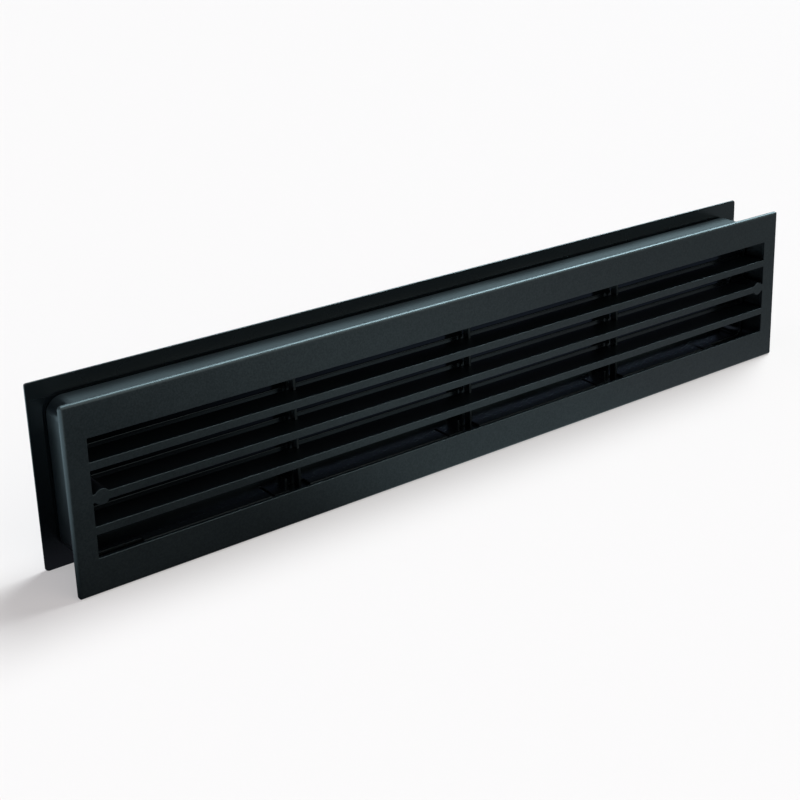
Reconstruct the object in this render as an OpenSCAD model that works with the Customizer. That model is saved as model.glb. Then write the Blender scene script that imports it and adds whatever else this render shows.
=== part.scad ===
// Two-sided telescopic door grille.
// The front half carries the outer sleeve, the rear half faces the other way
// and its inner sleeve slides inside the outer one. The door leaf sits between
// the two flanges, and two long screws driven from the rear close the pair.
// X runs along the width, the front half faces -Y and +Z is up. The origin is
// the centre of the front flange's seating face, which lies on the door.

/* [Flanges] */
// Width of each flange
flange_w = 453; // [330:1:600]
// Height of each flange
flange_h = 91; // [86:1:110]
// Thickness of each flange
flange_t = 2; // [1.8:0.1:3]
// Radius of the rounded edge on the face side
flange_edge_r = 1.7; // [0.5:0.1:1.7]
// Radius of the flange's corners, seen from the front
flange_corner_r = 2; // [0.5:0.1:4]
// Width of the plain border beside the louvres
side_border = 10.7; // [10:0.1:14]
// Height of the plain border above and below the louvres
edge_border = 17.2; // [15:0.1:18]
// Clear gap between the two flanges with the grille closed
closed_gap = 32.5; // [32.5:0.5:36]

/* [Louvres] */
// Number of horizontal blades
blade_count = 3; // [3:2:5]
// Height of a blade at the face
blade_face_h = 4; // [3:0.1:5]
// Height of a blade at its inner edge
blade_back_h = 2.8; // [1.5:0.1:2.9]
// Depth of a blade, from the face
blade_depth = 16; // [10:0.5:16]
// Number of vertical ribs that tie the blades together
rib_count = 3; // [1:1:3]
// Distance from one rib to the next
rib_pitch = 106; // [60:0.5:106]
// Thickness of a rib
rib_t = 1.4; // [1:0.1:2]
// Distance from the seating face to a front rib's nearer edge
front_rib_start = 10.5; // [2:0.5:12]
// Distance from the seating face to a rear rib's nearer edge
rear_rib_start = 2; // [2:0.5:12]
// Reach of every rib behind its seating face
rib_reach = 15.2; // [14:0.1:15.2]

/* [Sleeves] */
// Overlap of the flange outside the sleeve at each side
side_overlap = 7.5; // [7:0.1:7.8]
// Overlap of the flange above and below the sleeve
edge_overlap = 8; // [6:0.1:9]
// Wall of the outer sleeve
outer_wall = 1.6; // [1.2:0.1:1.6]
// Wall of the inner sleeve
inner_wall = 1.3; // [1:0.1:1.3]
// Clearance between the two sleeves, on each side
sleeve_clearance = 0.3; // [0.1:0.05:0.4]
// Radius of the outer sleeve's corners
sleeve_corner_r = 8; // [4:0.1:8]
// Gap between the outer sleeve's free edge and the rear flange when closed
sleeve_end_gap = 2.1; // [1:0.1:4]

/* [Inner sleeve edge] */
// Reach of the inner sleeve from its own flange
tongue_reach = 21.2; // [20:0.1:22]
// Reach of the inner sleeve near its two ends
end_reach = 18.3; // [17:0.1:18.3]
// Distance from each side of the inner sleeve to its long tongues
end_step = 29; // [25:1:35]
// Distance from a front rib to the finger's side of the notch around it
notch_finger_side = 5.5; // [4:0.5:8]
// Distance from a front rib to the plain side of the notch around it
notch_plain_side = 6.5; // [4:0.5:8]
// Reach of the inner sleeve in a notch
notch_reach = 13.8; // [12:0.1:15]
// Width of the spring finger beside each notch
finger_w = 9; // [6:0.5:10]
// Width of the slit that frees a finger
slit_w = 1.3; // [0.6:0.1:1.5]
// Length of the slit
slit_l = 13; // [8:0.5:14]
// Height of the lug that stands on a finger
lug_h = 5.5; // [3:0.5:6]
// Thickness of the lug
lug_t = 1.2; // [0.8:0.1:1.5]
// Length of the lug
lug_l = 4; // [3:0.5:5]
// Distance from the finger's free end to the lug
lug_setback = 2; // [0:0.5:3]

/* [Screws] */
// Distance from the side of the louvred opening to the screw's axis
screw_inset = 4.3; // [4.1:0.1:4.5]
// Radius of the screw over its thread
screw_r = 1.75; // [1.5:0.05:1.75]
// Length of the screw under its head
screw_len = 29.5; // [20:0.5:29.5]
// Length of the screw's pointed tip
screw_tip_len = 3; // [2:0.5:4]
// Radius of the screw's head
head_r = 3.2; // [2.8:0.1:3.2]
// Height of the screw's head
head_h = 2.3; // [1.8:0.1:2.6]
// Width of each arm of the cross recess
recess_w = 0.9; // [0.7:0.1:1.1]
// Length across the cross recess
recess_l = 3.4; // [2.6:0.1:3.8]
// Depth of the cross recess
recess_depth = 1.5; // [1:0.1:1.6]
// Radial clearance around the screw
screw_clearance = 0.05; // [0.02:0.01:0.1]
// Radius of the closed boss on the front half
boss_r = 3.75; // [3.5:0.05:3.9]
// Reach of the boss behind the seating face
boss_reach = 16.5; // [15:0.5:16.5]
// Plastic left at the closed end of the boss, behind the seating face
boss_floor = 1; // [0.5:0.1:1.2]
// Radius of the open post on the rear half
post_r = 4.6; // [4.4:0.1:4.8]
// Reach of the post behind its own seating face
post_reach = 15; // [12:0.5:15]
// Radius of the counterbore that hides the head
counterbore_r = 3.5; // [3.4:0.05:3.6]
// Depth of the counterbore below the rear face
counterbore_depth = 3.5; // [3.5:0.1:4.5]

/* [Hidden] */

$fn = 48;
bore_fn = 64;
cut = 1;

opening_w = flange_w - 2 * side_border;
opening_h = flange_h - 2 * edge_border;
blade_gap = (opening_h - blade_count * blade_face_h) / (blade_count + 1);
blade_pitch = blade_gap + blade_face_h;
blade_zs = [for (i = [1:blade_count]) (i - (blade_count + 1) / 2) * blade_pitch];
rib_xs = [for (i = [1:rib_count]) (i - (rib_count + 1) / 2) * rib_pitch];

outer_w = flange_w - 2 * side_overlap;
outer_h = flange_h - 2 * edge_overlap;
outer_len = closed_gap - sleeve_end_gap;
guide_w = outer_w - 2 * outer_wall;
guide_h = outer_h - 2 * outer_wall;
inner_w = guide_w - 2 * sleeve_clearance;
inner_h = guide_h - 2 * sleeve_clearance;
inner_corner_r = sleeve_corner_r - outer_wall - sleeve_clearance;
tongue_half_w = inner_w / 2 - end_step;

screw_x = opening_w / 2 - screw_inset;
screw_hole_r = screw_r + screw_clearance;
head_seat_y = closed_gap + flange_t - counterbore_depth;
screw_point_r = 0.3;
head_edge_r = 0.9;

front_colour = [0.11, 0.12, 0.13];
rear_colour = [0.09, 0.1, 0.11];
screw_colour = [0.62, 0.63, 0.64];

// ---- outlines -------------------------------------------------------------

// Rectangle with rounded corners, centred.
module rounded_rect(w, h, r) {
    square([w - 2 * r, h], center = true);
    square([w, h - 2 * r], center = true);
    for (x = [-1, 1], y = [-1, 1])
        translate([x * (w / 2 - r), y * (h / 2 - r)]) circle(r);
}

// Section across a flange: first axis is depth, second is the span, and both
// ends are rounded on the face side.
module flange_section(span) {
    flat = span - 2 * flange_edge_r;
    translate([-flange_t, -flat / 2]) square([flange_t, flat]);
    translate([flange_edge_r - flange_t, -span / 2])
        square([flange_t - flange_edge_r, span]);
    for (side = [-1, 1])
        translate([flange_edge_r - flange_t, side * flat / 2]) circle(flange_edge_r);
}

// Stands an XZ outline up and gives it a depth along +Y from y.
module along_y(y, depth) {
    translate([0, y + depth, 0]) rotate([90, 0, 0]) linear_extrude(depth) children();
}

// Runs a section drawn in depth and height along X, centred.
module along_x(length) {
    rotate([90, 0, 90]) linear_extrude(length, center = true) children();
}

// Round rod or hole along +Y on a screw's axis.
module screw_rod(x, y, r, length) {
    translate([x, y, 0]) rotate([-90, 0, 0]) cylinder(r = r, h = length, $fn = bore_fn);
}

// ---- pieces of one grille half, facing -Y ---------------------------------

module flange_plate() {
    intersection() {
        along_x(flange_w) flange_section(flange_h);
        linear_extrude(flange_h, center = true) rotate(90) flange_section(flange_w);
        along_y(-flange_t, flange_t) rounded_rect(flange_w, flange_h, flange_corner_r);
    }
}

module louvre_opening() {
    along_y(-flange_t - cut, flange_t + 2 * cut) square([opening_w, opening_h], center = true);
}

// One straight blade, tapered from its face to its inner edge.
module blade(length) {
    along_x(length) polygon([
        [-flange_t, -blade_face_h / 2],
        [blade_depth - flange_t, -blade_back_h / 2],
        [blade_depth - flange_t, blade_back_h / 2],
        [-flange_t, blade_face_h / 2]
    ]);
}

module blades(length) {
    for (z = blade_zs)
        translate([0, 0, z]) blade(length);
}

module ribs(height, start) {
    for (x = rib_xs)
        along_y(start, rib_reach - start) translate([x, 0]) square([rib_t, height], center = true);
}

// Rectangular tube with rounded corners, from its flange to its free edge.
module sleeve(w, h, corner_r, wall, reach) {
    difference() {
        along_y(0, reach) rounded_rect(w, h, corner_r);
        along_y(-cut, reach + 2 * cut) rounded_rect(w - 2 * wall, h - 2 * wall, corner_r - wall);
    }
}

// The flange with its louvres. The blades have the given length and the ribs
// the given height, so that both end halfway into the sleeve's walls.
module louvred_face(length, height, rib_start) {
    difference() {
        flange_plate();
        louvre_opening();
    }
    blades(length);
    ribs(height, rib_start);
}

// ---- details of the inner sleeve's free edge ------------------------------

// Left edges of the four tongues on the lower wall. Each begins with a finger.
tongue_starts = concat([-tongue_half_w], [for (x = rib_xs) x + notch_finger_side]);

module wall_cut(x_low, x_high, reach) {
    lower_z = -inner_h / 2 - cut;
    translate([x_low, reach, lower_z])
        cube([x_high - x_low, tongue_reach - reach + cut, inner_h / 2 + cut]);
}

// Everything cut from the lower half: the set-back ends, notches and slits.
module lower_edge_cuts() {
    wall_cut(-inner_w / 2 - cut, -tongue_half_w, end_reach);
    wall_cut(tongue_half_w, inner_w / 2 + cut, end_reach);
    for (x = rib_xs)
        wall_cut(x - notch_plain_side, x + notch_finger_side, notch_reach);
    for (x = tongue_starts)
        wall_cut(x + finger_w - slit_w / 2, x + finger_w + slit_w / 2, tongue_reach - slit_l);
}

module finger_lugs() {
    lug_y = tongue_reach - lug_setback - lug_l;
    for (x = rib_xs)
        translate([x + notch_finger_side, lug_y, -inner_h / 2])
            cube([lug_t, lug_l, lug_h + inner_wall]);
}

module inner_sleeve() {
    difference() {
        sleeve(inner_w, inner_h, inner_corner_r, inner_wall, tongue_reach);
        for (turn = [0, 180])
            rotate([0, turn, 0]) lower_edge_cuts();
    }
    for (turn = [0, 180])
        rotate([0, turn, 0]) finger_lugs();
}

// ---- nodes ----------------------------------------------------------------

module front_grille() {
    color(front_colour)
    difference() {
        union() {
            louvred_face(guide_w + outer_wall, guide_h + outer_wall, front_rib_start);
            sleeve(outer_w, outer_h, sleeve_corner_r, outer_wall, outer_len);
            for (side = [-1, 1])
                screw_rod(side * screw_x, -flange_t, boss_r, boss_reach + flange_t);
        }
        for (side = [-1, 1])
            screw_rod(side * screw_x, boss_floor, screw_hole_r, boss_reach - boss_floor + cut);
    }
}

module rear_grille() {
    seat = counterbore_depth - flange_t;
    color(rear_colour)
    translate([0, closed_gap, 0]) rotate([0, 0, 180])
    difference() {
        union() {
            louvred_face(inner_w - inner_wall, inner_h - inner_wall, rear_rib_start);
            inner_sleeve();
            for (side = [-1, 1])
                screw_rod(side * screw_x, -flange_t, post_r, post_reach + flange_t);
        }
        for (side = [-1, 1]) {
            screw_rod(side * screw_x, -flange_t - cut, counterbore_r, counterbore_depth + cut);
            screw_rod(side * screw_x, seat - cut, screw_hole_r, post_reach - seat + 2 * cut);
        }
    }
}

// Half outline of the screw: radius first, then height above the head's seat.
module screw_outline() {
    polygon([
        [0, -screw_len],
        [screw_point_r, -screw_len],
        [screw_r, screw_tip_len - screw_len],
        [screw_r, 0],
        [head_r, 0],
        [head_r, head_h - head_edge_r],
        [head_r - head_edge_r, head_h],
        [0, head_h]
    ]);
    intersection() {
        translate([head_r - head_edge_r, head_h - head_edge_r]) circle(head_edge_r);
        square([head_r, head_h]);
    }
}

// Self-tapping screw with a pan head and a cross recess, driven from the rear.
module screw(side) {
    color(screw_colour)
    translate([side * screw_x, head_seat_y, 0]) rotate([-90, 0, 0])
    difference() {
        rotate_extrude($fn = bore_fn) screw_outline();
        for (turn = [0, 90])
            rotate(turn) translate([0, 0, head_h])
                cube([recess_l, recess_w, 2 * recess_depth], center = true);
    }
}

module screw_left() { screw(-1); }
module screw_right() { screw(1); }

front_grille();
rear_grille();
screw_left();
screw_right();
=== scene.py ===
"""Looks of a black two-sided door grille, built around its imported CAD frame. Lengths are in metres."""
import math

import bmesh
import bpy
from mathutils import Matrix, Vector


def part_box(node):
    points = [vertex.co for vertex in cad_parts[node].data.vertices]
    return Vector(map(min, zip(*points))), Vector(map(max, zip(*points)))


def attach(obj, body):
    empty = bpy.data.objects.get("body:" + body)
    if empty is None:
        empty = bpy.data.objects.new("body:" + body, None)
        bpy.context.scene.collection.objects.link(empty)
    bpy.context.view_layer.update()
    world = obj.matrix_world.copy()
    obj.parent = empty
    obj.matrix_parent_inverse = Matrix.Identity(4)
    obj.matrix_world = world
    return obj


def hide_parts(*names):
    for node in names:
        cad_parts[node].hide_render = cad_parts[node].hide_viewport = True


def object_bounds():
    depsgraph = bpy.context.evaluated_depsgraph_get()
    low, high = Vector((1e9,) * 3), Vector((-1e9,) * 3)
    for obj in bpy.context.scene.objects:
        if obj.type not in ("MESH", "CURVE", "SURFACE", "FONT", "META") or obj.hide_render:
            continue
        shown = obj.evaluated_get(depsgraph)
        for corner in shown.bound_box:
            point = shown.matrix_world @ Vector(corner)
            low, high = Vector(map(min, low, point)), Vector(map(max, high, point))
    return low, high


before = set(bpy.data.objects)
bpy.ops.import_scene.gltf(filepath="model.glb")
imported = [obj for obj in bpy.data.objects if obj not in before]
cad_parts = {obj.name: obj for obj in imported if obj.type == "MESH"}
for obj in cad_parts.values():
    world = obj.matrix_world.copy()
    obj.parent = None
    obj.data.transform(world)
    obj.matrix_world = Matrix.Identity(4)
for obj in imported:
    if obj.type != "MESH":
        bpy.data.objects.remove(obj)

cad_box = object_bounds()

MM = 0.001

# Moulded edges: every outside edge and inside corner sharper than SHARP_ANGLE gets a small round.
EDGE_ROUND = 0.25 * MM
ROUND_STEPS = 3
SHARP_ANGLE = math.radians(28)
# Rounder edges: the blades' inner edges and the lead-in of the long tongues, which are longer than
# LONG_EDGE. Each set is (depth, least and greatest distance from the middle, radius).
ROUNDER_EDGES = {
    "front_grille": [(14 * MM, 0, 20 * MM, 0.5 * MM)],
    "rear_grille": [(18.5 * MM, 0, 20 * MM, 0.5 * MM), (11.3 * MM, 34 * MM, 34.6 * MM, 0.85 * MM)],
}
ROUNDER_STEPS = 5
LONG_EDGE = 20 * MM
# Corners left sharp, because the inner sleeve's side walls come close to them: further out than
# this, and between these depths.
SLIDING_WALL = 216.5 * MM
SLIDING_CORNER = (13.3 * MM, 14.1 * MM)
# Triangles within FLAT_ANGLE are one flat face, and points closer than WELD are one point.
FLAT_ANGLE = math.radians(0.4)
WELD = 0.002 * MM
# Shading is smooth up to these angles.
MOULDING_SMOOTH = math.radians(40)
SCREW_SMOOTH = math.radians(35)

# Screw thread. One turn moves the screw by one pitch, as the frame's coupling has it. THREAD_CREST
# and THREAD_FLANK are shares of the pitch. THREAD_AT_TIP is the share of the depth at the tip.
SHAFT_RADIUS = 1.75 * MM
THREAD_PITCH = 1.3 * MM
THREAD_DEPTH = 0.5 * MM
THREAD_CREST = 0.12
THREAD_FLANK = 0.22
THREAD_AT_TIP = 0.35
RINGS_PER_TURN = 10
POINTS_PER_RING = 36
TIP_LENGTH = 3 * MM
TIP_RADIUS = 0.25 * MM
# Screw head and its cross recess. Both _SHARE values are shares of the head's radius. RECESS_TAPER
# and RECESS_NARROWING are shares of length and width at the recess's bottom.
HEAD_HEIGHT = 2.3 * MM
HEAD_EDGE = 0.9 * MM
HEAD_EDGE_STEPS = 8
HEAD_CROWN = 0.12 * MM
HEAD_CROWN_SHARE = 0.35
HEAD_LOWER_EDGE = 0.1 * MM
UNDERSIDE_SHARE = 0.1
SEAT_CLEARANCE = 0.05 * MM
RECESS_LENGTH = 3.4 * MM
RECESS_WIDTH = 0.9 * MM
RECESS_DEPTH = 1.5 * MM
RECESS_TAPER = 0.55
RECESS_NARROWING = 0.8
CUTTER_ABOVE_HEAD = 1 * MM

# Noise patterns, as (scale, detail). A greater scale is a finer pattern. Their values mostly lie
# within NOISE_RANGE.
SHADES = (60, 4)
CLOUDS = (22, 3)
SPECKLE = (1250, 1)
GRAIN = (1100, 4)
RIPPLES = (260, 2)
TINTS = (420, 3)
DULL_SPOTS = (1500, 3)
SCRATCHES = (4000, 3)
NOISE_RANGE = (0.3, 0.7)

# Each plastic is (colour, which way along Y its outer face looks, the inside's roughness, the walls'
# gloss). That roughness is (at the first depth, at the second depth, first depth, second depth).
FRONT_PLASTIC = ((0.0028, 0.0034, 0.004), -1, (0.34, 0.3, 0, 14 * MM), 0.4)
REAR_PLASTIC = ((0.0026, 0.0032, 0.0038), 1, (0.5, 0.2, 10 * MM, 20 * MM), 0.5)
SHADE_SHARES = (0.7, 1.4)
# A surface counts as an outer face, or as a grained one, by the part of its normal that points
# outwards along Y. Each pair says from where it begins to count, and from where it counts fully.
OUTER_FACES = (0.05, 0.3)
GRAINED_FACES = (0.8, 0.98)
OUTER_ROUGHNESS = 0.45
OUTER_GLOSS = 0.5
CLOUD_CONTRAST = 0.04
SPECKLE_CONTRAST = 0.06
# The sleeve's outer skin begins between these distances from the middle. It is grained in front, and
# the grain fades between the depths SKIN_FADES. Grain adds to the skin's own roughness and gloss.
SLEEVE_OUTSIDE = (36.7 * MM, 37.2 * MM)
SKIN_FADES = (16 * MM, 32 * MM)
SKIN_ROUGHNESS = 0.26
SKIN_GRAIN_ROUGHNESS = 0.46
SKIN_GRAIN_GLOSS = 0.35
# The blades' insides have another gloss than the walls, which begin between these distances.
BLADE_GLOSS = 0.3
BLADES_TO_WALLS = (20 * MM, 26 * MM)
# Bumps of the plastic: strength and depth of the grain, and the ripples' share of it.
GRAIN_BUMP = (0.5, 0.12 * MM)
RIPPLE_SHARE = 0.35

# Zinc plating of the screws: two tints and where one turns into the other, roughness, scratches.
ZINC_TINTS = ((0.58, 0.62, 0.68), (0.72, 0.69, 0.58))
TINT_CHANGE = (0.35, 0.65)
ZINC_ROUGHNESS = (0.22, 0.42)
SCRATCH_BUMP = (0.3, 0.01 * MM)

# Light tent: each panel is (direction of its centre, angle where it ends, angle from which it is fully
# lit, light). The camera sees HORIZON_SEEN instead.
TENT_PANELS = [
    ((0.6, 0.111, 0.792), 20, 5, (20, 28.5, 31.5)),
    ((0.2, -0.83, 0.52), 45, 20, (1.3, 1.6, 1.6)),
    ((-0.7, 0, 0.7), 50, 20, (0.5, 0.6, 0.8)),
    ((0.6, 0.63, 0.493), 16, 5, (0.06, 0.08, 0.12)),
]
HORIZON_SEEN = (0.965, 0.965, 0.965)
# Floor: its colour and glow for the camera. For every other ray it glows instead with painted light,
# which the plastic mirrors as painted reflections and highlights and which lights it: bands across X,
# and a painted shadow where Y is past BEHIND_BEGINS and X is past BEHIND_FROM_LEFT.
FLOOR_RADIUS = 12
FLOOR_POINTS = 96
FLOOR_SEEN = (0.4535, 0.326, 0.296)
FLOOR_GLOW = 0.36
GLOW_COLOUR = (1, 1, 1)
FLOOR_ROUGHNESS = 0.95
FLOOR_GLOSS = 0.05
# Painted light across X, as (X, colour): the bright far-left bands paint the highlight on the plate's
# left edge, the dim band paints shade on the face's left end, the rest the face's painted reflection.
FLOOR_PAINTED_LIGHT = [
    (-0.40, (1.7, 2.4, 2.7)),
    (-0.30, (1.2, 1.7, 1.9)),
    (-0.25, (0.05, 0.06, 0.07)),
    (-0.13, (0.05, 0.06, 0.07)),
    (-0.01, (0.46, 0.62, 0.68)),
    (0.08, (0.47, 0.62, 0.68)),
    (0.15, (0.42, 0.50, 0.55)),
    (0.34, (0.27, 0.33, 0.36)),
]
# Painted shadow: the floor's dim glow behind the grille, which the plastic mirrors and is lit by.
FLOOR_PAINTED_SHADOW = (0.14, 0.15, 0.19)
BEHIND_BEGINS = (0, 30 * MM)
BEHIND_FROM_LEFT = (-0.30, -0.24)

# Camera: azimuth, elevation and roll in degrees. It looks at a point in the front face's plane. The
# lens is shifted only while the camera is within SAME_PLACE of where it is put.
CAMERA_TURN = (-41.707, 18.996, 0.153)
CAMERA_TARGET_X = 0.0496
CAMERA_TARGET_Z = 0.0311
CAMERA_DISTANCE = 0.8116
SENSOR_WIDTH = 36
LENS_LENGTH = 68.94
LENS_SHIFT = (-0.1966, -0.128)
SAME_PLACE = 1 * MM


# ---- meshes ---------------------------------------------------------------

def new_piece(name, mesh):
    piece = bpy.data.objects.new(name, mesh)
    bpy.context.scene.collection.objects.link(piece)
    return piece


def merged_faces(node):
    """The CAD node's shape as a bmesh, with its flat triangles joined into whole faces."""
    shape = bmesh.new()
    shape.from_mesh(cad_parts[node].data)
    bmesh.ops.remove_doubles(shape, verts=shape.verts, dist=WELD)
    bmesh.ops.dissolve_limit(shape, angle_limit=FLAT_ANGLE, verts=shape.verts, edges=shape.edges)
    return shape


def sharp_edges(shape):
    """Every outside edge and inside corner that isn't rounded yet."""
    return [e for e in shape.edges if e.is_manifold and e.calc_face_angle() > SHARP_ANGLE]


def is_rounder(edge, depth, near, far):
    """Is this a long outside edge at this depth, and between these distances from the middle?"""
    return edge.is_convex and edge.calc_length() > LONG_EDGE and all(
        abs(v.co.y - depth) < WELD and near <= abs(v.co.z) <= far
        for v in edge.verts)


def is_sliding_corner(edge):
    """Is this an inner corner between a blade's end and the outer sleeve's side wall?"""
    return not edge.is_convex and all(
        abs(v.co.x) > SLIDING_WALL and SLIDING_CORNER[0] < v.co.y < SLIDING_CORNER[1]
        for v in edge.verts)


def rounded(shape, edges, radius, steps):
    bmesh.ops.bevel(
        shape, geom=edges, offset=radius, offset_type="OFFSET", segments=steps,
        profile=0.5, affect="EDGES", clamp_overlap=False, loop_slide=True)


def finished_mesh(shape, name):
    mesh = bpy.data.meshes.new(name)
    shape.to_mesh(mesh)
    shape.free()
    mesh.shade_smooth()
    mesh.set_sharp_from_angle(angle=MOULDING_SMOOTH)
    return mesh


def stand_for(piece, node, body, material):
    """Puts the piece in the CAD node's place, on its body, with its material."""
    piece.data.materials.clear()
    piece.data.materials.append(material)
    normals = piece.modifiers.new("flat_faces_stay_flat", "WEIGHTED_NORMAL")
    normals.keep_sharp = True
    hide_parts(node)
    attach(piece, body)


def moulding(node, body, material):
    """The moulding that stands for one CAD node."""
    shape = merged_faces(node)
    for depth, near, far, radius in ROUNDER_EDGES[node]:
        edges = [e for e in sharp_edges(shape) if is_rounder(e, depth, near, far)]
        rounded(shape, edges, radius, ROUNDER_STEPS)
    edges = [e for e in sharp_edges(shape) if not is_sliding_corner(e)]
    rounded(shape, edges, EDGE_ROUND, ROUND_STEPS)
    piece = new_piece(node + "_moulding", finished_mesh(shape, node + "_moulding"))
    stand_for(piece, node, body, material)


# ---- screws, built along +Y with the head's seat at height 0 ------------------

def ring(shape, height, radius_at):
    """Points round the Y axis at one height. radius_at gives the radius at a turn in radians."""
    points = []
    for i in range(POINTS_PER_RING):
        turn = math.tau * i / POINTS_PER_RING
        radius = radius_at(turn)
        points.append(shape.verts.new((radius * math.cos(turn), height, radius * math.sin(turn))))
    return points


def closed_tube(rings, shape):
    for low, high in zip(rings, rings[1:]):
        for i in range(POINTS_PER_RING):
            j = (i + 1) % POINTS_PER_RING
            shape.faces.new((low[i], low[j], high[j], high[i]))
    shape.faces.new(reversed(rings[0]))
    shape.faces.new(rings[-1])
    bmesh.ops.recalc_face_normals(shape, faces=shape.faces)
    return shape


def thread_height(phase):
    """Height of the thread above its core, 0 to 1, at a place between one crest and the next."""
    off_crest = min(phase, 1 - phase)
    return min(1, max(0, 1 - (off_crest - THREAD_CREST / 2) / THREAD_FLANK))


def threaded_shaft(radius, length):
    """The shaft from its tip up to a little inside the head."""
    shape = bmesh.new()
    whole = length + HEAD_HEIGHT / 4
    count = round(whole / THREAD_PITCH * RINGS_PER_TURN)
    rings = []
    for n in range(count + 1):
        up = whole * n / count
        body_share = min(1, up / TIP_LENGTH)
        core = TIP_RADIUS + (radius - THREAD_DEPTH - TIP_RADIUS) * body_share
        depth = THREAD_DEPTH * min(1, THREAD_AT_TIP + body_share)

        def radius_at(turn):
            phase = (up / THREAD_PITCH + turn / math.tau) % 1
            return core + depth * thread_height(phase)

        rings.append(ring(shape, up - length, radius_at))
    return closed_tube(rings, shape)


def pan_head(radius):
    """The head, turned from an outline that runs from its underside round its edge to its crown."""
    shape = bmesh.new()
    outline = [(SEAT_CLEARANCE, radius * UNDERSIDE_SHARE),
               (SEAT_CLEARANCE, radius - HEAD_LOWER_EDGE),
               (SEAT_CLEARANCE + HEAD_LOWER_EDGE, radius)]
    for i in range(HEAD_EDGE_STEPS + 1):
        angle = math.pi / 2 * i / HEAD_EDGE_STEPS
        outline.append((HEAD_HEIGHT - HEAD_EDGE + HEAD_EDGE * math.sin(angle),
                        radius - HEAD_EDGE + HEAD_EDGE * math.cos(angle)))
    outline.append((HEAD_HEIGHT + HEAD_CROWN, radius * HEAD_CROWN_SHARE))
    rings = [ring(shape, height, lambda turn, r=r: r) for height, r in outline]
    return closed_tube(rings, shape)


def cross_recess():
    """Tapered cross that is cut from the head."""
    shape = bmesh.new()
    for across in (0, 1):
        made = bmesh.ops.create_cube(shape, size=1)["verts"]
        for vert in made:
            deep = vert.co.y < 0
            long_way = RECESS_LENGTH * (RECESS_TAPER if deep else 1)
            short_way = RECESS_WIDTH * (RECESS_NARROWING if deep else 1)
            x, z = vert.co.x * long_way, vert.co.z * short_way
            height = HEAD_HEIGHT + (-RECESS_DEPTH if deep else CUTTER_ABOVE_HEAD)
            vert.co = (z, height, x) if across else (x, height, z)
    return shape


def boolean(piece, shape, operation):
    """Joins the shape to the piece, or cuts it from the piece."""
    tool = new_piece("tool", finished_mesh(shape, "tool"))
    step = piece.modifiers.new(operation, "BOOLEAN")
    step.operation = operation
    step.solver = "EXACT"
    step.use_self = True
    step.object = tool
    changed = piece.evaluated_get(bpy.context.evaluated_depsgraph_get())
    mesh = bpy.data.meshes.new_from_object(changed)
    piece.modifiers.clear()
    piece.data = mesh
    bpy.data.objects.remove(tool)


def screw(node, body, material):
    """The screw that stands for one CAD node. Its place and head radius are the CAD screw's."""
    low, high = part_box(node)
    centre = (low + high) / 2
    head_radius = (high.x - low.x) / 2
    seat = high.y - HEAD_HEIGHT
    shaft = threaded_shaft(SHAFT_RADIUS, seat - low.y)
    piece = new_piece(node + "_threaded", finished_mesh(shaft, node + "_threaded"))
    boolean(piece, pan_head(head_radius), "UNION")
    boolean(piece, cross_recess(), "DIFFERENCE")
    piece.data.transform(Matrix.Translation((centre.x, seat, centre.z)))
    piece.data.shade_smooth()
    piece.data.set_sharp_from_angle(angle=SCREW_SMOOTH)
    stand_for(piece, node, body, material)


# ---- materials ------------------------------------------------------------

class Graph:
    """Short names for the nodes of one material or world."""

    def __init__(self, owner):
        owner.use_nodes = True
        self.owner = owner
        self.tree = owner.node_tree

    def node(self, kind, **settings):
        made = self.tree.nodes.new("ShaderNode" + kind)
        for key, value in settings.items():
            setattr(made, key, value)
        return made

    def link(self, source, target):
        self.tree.links.new(source, target)

    def feed(self, node, values):
        """Gives a node's inputs, by name or number, a number, a colour or another node's output."""
        for key, value in values.items():
            slot = node.inputs[key]
            if isinstance(value, bpy.types.NodeSocket):
                self.link(value, slot)
            elif isinstance(value, tuple):
                slot.default_value = (*value, 1)
            else:
                slot.default_value = value

    def surface(self, values):
        """Gives values to the material's own shader."""
        self.feed(self.tree.nodes["Principled BSDF"], values)

    def place(self):
        return self.node("TexCoord").outputs["Object"]

    def axes(self, vector):
        """The X, Y and Z of a vector."""
        split = self.node("SeparateXYZ")
        self.link(vector, split.inputs["Vector"])
        return split.outputs

    def noise(self, scale, detail):
        made = self.node("TexNoise")
        self.feed(made, {"Scale": scale, "Detail": detail, "Vector": self.place()})
        return made.outputs["Fac"]

    def spread(self, value, low, high, from_low=0.0, from_high=1.0):
        """Goes softly from low to high while the value goes from from_low to from_high."""
        made = self.node("MapRange", interpolation_type="SMOOTHSTEP")
        self.feed(made, {"Value": value, "From Min": from_low, "From Max": from_high})
        self.feed(made, {"To Min": low, "To Max": high})
        return made.outputs["Result"]

    def maths(self, operation, first, second):
        made = self.node("Math", operation=operation)
        self.feed(made, {0: first, 1: second})
        return made.outputs[0]

    def mix(self, share, first, second):
        """A number that is the first at share 0 and the second at share 1."""
        made = self.node("Mix", data_type="FLOAT")
        self.feed(made, {"Factor": share, "A": first, "B": second})
        return made.outputs["Result"]

    def mixed_colour(self, share, first, second):
        made = self.node("MixRGB", blend_type="MIX")
        self.feed(made, {"Fac": share, "Color1": first, "Color2": second})
        return made.outputs["Color"]

    def bumps(self, height, strength, depth):
        made = self.node("Bump")
        self.feed(made, {"Height": height, "Strength": strength, "Distance": depth})
        return made.outputs["Normal"]


def new_material(name):
    return Graph(bpy.data.materials.new(name))


def facing(graph, sign, begins, full):
    """1 on surfaces that look along sign * Y, 0 on the rest, and a soft change in between."""
    normal = graph.axes(graph.node("NewGeometry").outputs["Normal"])
    return graph.spread(graph.maths("MULTIPLY", normal["Y"], sign), 0, 1, begins, full)


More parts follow.
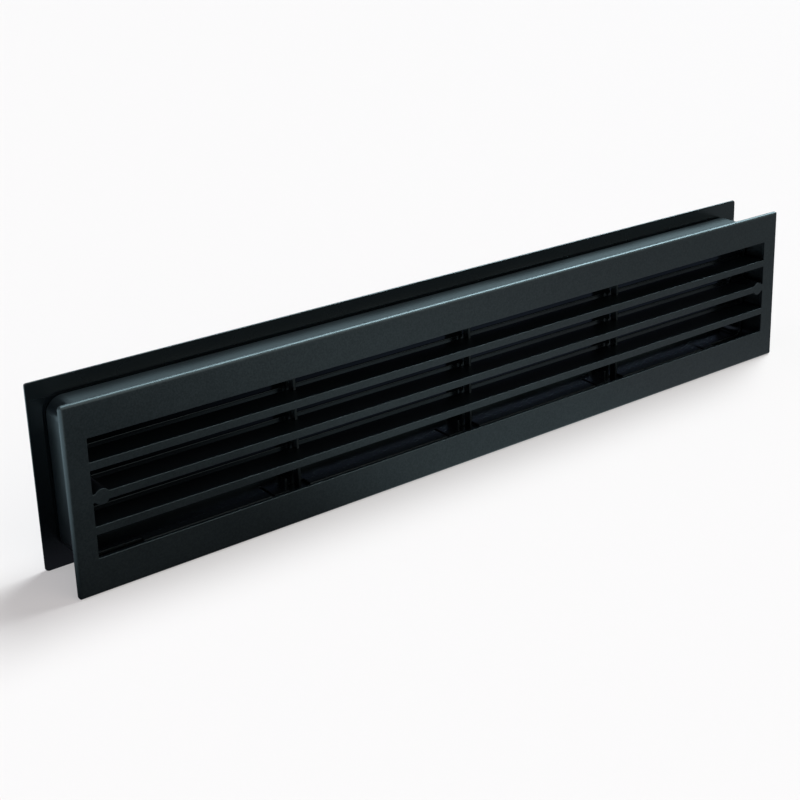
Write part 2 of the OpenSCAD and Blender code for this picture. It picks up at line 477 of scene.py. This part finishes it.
def plastic(name, colour, face_sign, inner_roughness, inner_gloss):
    """Black moulded plastic: a spark-eroded grain on the outer face, plain polish inside.

    The sleeve's outer skin is grained in front and gets smoother towards the rear.
    """
    graph = new_material(name)
    outer = facing(graph, face_sign, *OUTER_FACES)
    grained = facing(graph, face_sign, *GRAINED_FACES)
    place = graph.axes(graph.place())
    off_middle = graph.maths("ABSOLUTE", place["Z"], 0)
    skin = graph.spread(off_middle, 0, 1, *SLEEVE_OUTSIDE)
    skin_grain = graph.spread(place["Y"], 1, 0, *SKIN_FADES)

    dark, light = (tuple(part * share for part in colour) for share in SHADE_SHARES)
    shade = graph.mixed_colour(graph.noise(*SHADES), dark, light)

    skin_roughness = graph.maths("MULTIPLY", skin_grain, SKIN_GRAIN_ROUGHNESS)
    skin_roughness = graph.maths("ADD", skin_roughness, SKIN_ROUGHNESS)
    inside = graph.mix(skin, graph.spread(place["Y"], *inner_roughness), skin_roughness)
    clouds = graph.spread(graph.noise(*CLOUDS), -CLOUD_CONTRAST, CLOUD_CONTRAST, *NOISE_RANGE)
    roughness = graph.maths("ADD", graph.mix(outer, inside, OUTER_ROUGHNESS), clouds)

    speckle = graph.spread(graph.noise(*SPECKLE), -SPECKLE_CONTRAST, SPECKLE_CONTRAST, *NOISE_RANGE)
    outer_gloss = graph.maths("ADD", graph.maths("MULTIPLY", speckle, grained), OUTER_GLOSS)
    skin_gloss = graph.maths("MULTIPLY", graph.maths("MULTIPLY", skin, skin_grain), SKIN_GRAIN_GLOSS)
    wall_gloss = graph.spread(off_middle, BLADE_GLOSS, inner_gloss, *BLADES_TO_WALLS)
    gloss = graph.mix(outer, graph.maths("ADD", wall_gloss, skin_gloss), outer_gloss)

    grain = graph.maths("MULTIPLY", graph.noise(*GRAIN), grained)
    ripples = graph.maths("MULTIPLY", graph.noise(*RIPPLES), RIPPLE_SHARE)
    bumps = graph.bumps(graph.maths("ADD", grain, ripples), *GRAIN_BUMP)
    graph.surface({
        "Base Color": shade, "Roughness": roughness, "Specular IOR Level": gloss, "Normal": bumps,
    })
    return graph.owner


def zinc(name):
    """Bright zinc plating with a faint blue and yellow passivation."""
    graph = new_material(name)
    tint = graph.spread(graph.noise(*TINTS), 0, 1, *TINT_CHANGE)
    graph.surface({
        "Metallic": 1,
        "Base Color": graph.mixed_colour(tint, *ZINC_TINTS),
        "Roughness": graph.spread(graph.noise(*DULL_SPOTS), *ZINC_ROUGHNESS),
        "Normal": graph.bumps(graph.noise(*SCRATCHES), *SCRATCH_BUMP),
    })
    return graph.owner


steel = zinc("zinc_plated_steel")
moulding("front_grille", "front", plastic("front_black_plastic", *FRONT_PLASTIC))
moulding("rear_grille", "rear", plastic("rear_black_plastic", *REAR_PLASTIC))
for side in ("left", "right"):
    screw("screw_" + side, "screw_" + side, steel)


# ---- stage ----------------------------------------------------------------

def bands(graph, value, stops):
    """Colours along a value: a list of (place, colour), with a smooth change between them."""
    low, high = stops[0][0], stops[-1][0]
    along = graph.node("MapRange")
    graph.feed(along, {"Value": value, "From Min": low, "From Max": high})
    ramp = graph.node("ValToRGB")
    graph.feed(ramp, {"Fac": along.outputs["Result"]})
    ramp.color_ramp.interpolation = "EASE"
    marks = ramp.color_ramp.elements
    while len(marks) < len(stops):
        marks.new(0.5)
    for mark, (place, colour) in zip(marks, stops):
        mark.position = (place - low) / (high - low)
        mark.color = (*colour, 1)
    return ramp.outputs["Color"]


def floor_material():
    """Pale paper for the camera; every other ray meets a glow of painted light and shade."""
    graph = new_material("floor_paper")
    graph.surface({
        "Base Color": FLOOR_SEEN, "Roughness": FLOOR_ROUGHNESS, "Specular IOR Level": FLOOR_GLOSS,
        "Emission Color": GLOW_COLOUR, "Emission Strength": FLOOR_GLOW,
    })
    place = graph.axes(graph.place())
    # Where the painted shadow behind the grille lies.
    behind = graph.maths("MULTIPLY", graph.spread(place["Y"], 0, 1, *BEHIND_BEGINS),
                         graph.spread(place["X"], 0, 1, *BEHIND_FROM_LEFT))
    painted_light_bands = bands(graph, place["X"], FLOOR_PAINTED_LIGHT)
    # The painted light and shade that every ray but the camera's meets on the floor.
    painted_light_glow = graph.node("Emission")
    graph.feed(painted_light_glow, {"Color": graph.mixed_colour(behind, painted_light_bands, FLOOR_PAINTED_SHADOW)})
    seen = graph.node("MixShader")
    paper = graph.tree.nodes["Principled BSDF"].outputs["BSDF"]
    by_camera = graph.node("LightPath").outputs["Is Camera Ray"]
    graph.feed(seen, {"Fac": by_camera, 1: painted_light_glow.outputs["Emission"], 2: paper})
    graph.link(seen.outputs["Shader"], graph.tree.nodes["Material Output"].inputs["Surface"])
    return graph.owner


def make_floor():
    bpy.ops.mesh.primitive_circle_add(
        vertices=FLOOR_POINTS, radius=FLOOR_RADIUS, fill_type="NGON", location=(0, 0, cad_box[0].z))
    floor = bpy.context.object
    floor.name = "floor"
    floor.data.materials.append(floor_material())


def panel_light(graph, looking, axis, edge, centre, colour):
    """The light that comes from one panel in each direction."""
    towards = graph.node("VectorMath", operation="DOT_PRODUCT")
    towards.inputs[1].default_value = Vector(axis).normalized()
    graph.link(looking, towards.inputs[0])
    dark_from, lit_from = (math.cos(math.radians(angle)) for angle in (edge, centre))
    shine = graph.node("VectorMath", operation="SCALE")
    shine.inputs[0].default_value = colour
    graph.feed(shine, {"Scale": graph.spread(towards.outputs["Value"], 0, 1, dark_from, lit_from)})
    return shine.outputs["Vector"]


def make_world():
    """A light tent: a small bright panel overhead to the right, a wide dim one in front, and faint
    ones at the left and behind. The camera sees an even pale colour instead of it."""
    graph = Graph(bpy.data.worlds.new("light_tent"))
    looking = graph.node("TexCoord").outputs["Generated"]
    panels = [panel_light(graph, looking, *panel) for panel in TENT_PANELS]
    light = panels[0]
    for panel in panels[1:]:
        both = graph.node("VectorMath", operation="ADD")
        graph.feed(both, {0: light, 1: panel})
        light = both.outputs["Vector"]
    by_camera = graph.node("LightPath").outputs["Is Camera Ray"]
    seen = graph.mixed_colour(by_camera, light, HORIZON_SEEN)
    graph.link(seen, graph.tree.nodes["Background"].inputs["Color"])
    bpy.context.scene.world = graph.owner


def shift_here_only(camera, shift_x, shift_y):
    """Shifts the lens while the camera stays where it is, so that another view isn't off centre."""
    here = camera.matrix_world.translation.x
    for name, shift in (("shift_x", shift_x), ("shift_y", shift_y)):
        driver = camera.data.driver_add(name).driver
        place = driver.variables.new()
        place.name = "x"
        place.type = "TRANSFORMS"
        place.targets[0].id = camera
        place.targets[0].transform_type = "LOC_X"
        driver.expression = f"{shift} if abs(x - {here:.5f}) < {SAME_PLACE} else 0"


def make_camera():
    """The photo's viewpoint. The photo is a crop off the lens's middle, so the lens is shifted."""
    azimuth, elevation, roll = (math.radians(angle) for angle in CAMERA_TURN)
    back = Vector((math.sin(azimuth) * math.cos(elevation),
                   -math.cos(azimuth) * math.cos(elevation), math.sin(elevation)))
    level = Vector((0, 0, 1)).cross(back).normalized()
    upright = back.cross(level)
    right = level * math.cos(roll) + upright * math.sin(roll)
    up = upright * math.cos(roll) - level * math.sin(roll)
    target = Vector((CAMERA_TARGET_X, cad_box[0].y, CAMERA_TARGET_Z))
    data = bpy.data.cameras.new("camera")
    data.sensor_width = SENSOR_WIDTH
    data.lens = LENS_LENGTH
    camera = bpy.data.objects.new("camera", data)
    turn = Matrix((right, up, back)).transposed().to_4x4()
    camera.matrix_world = Matrix.Translation(target + back * CAMERA_DISTANCE) @ turn
    bpy.context.scene.collection.objects.link(camera)
    bpy.context.scene.camera = camera
    shift_here_only(camera, *LENS_SHIFT)


make_floor()
make_world()
make_camera()
bpy.context.scene.view_settings.view_transform = "Standard"
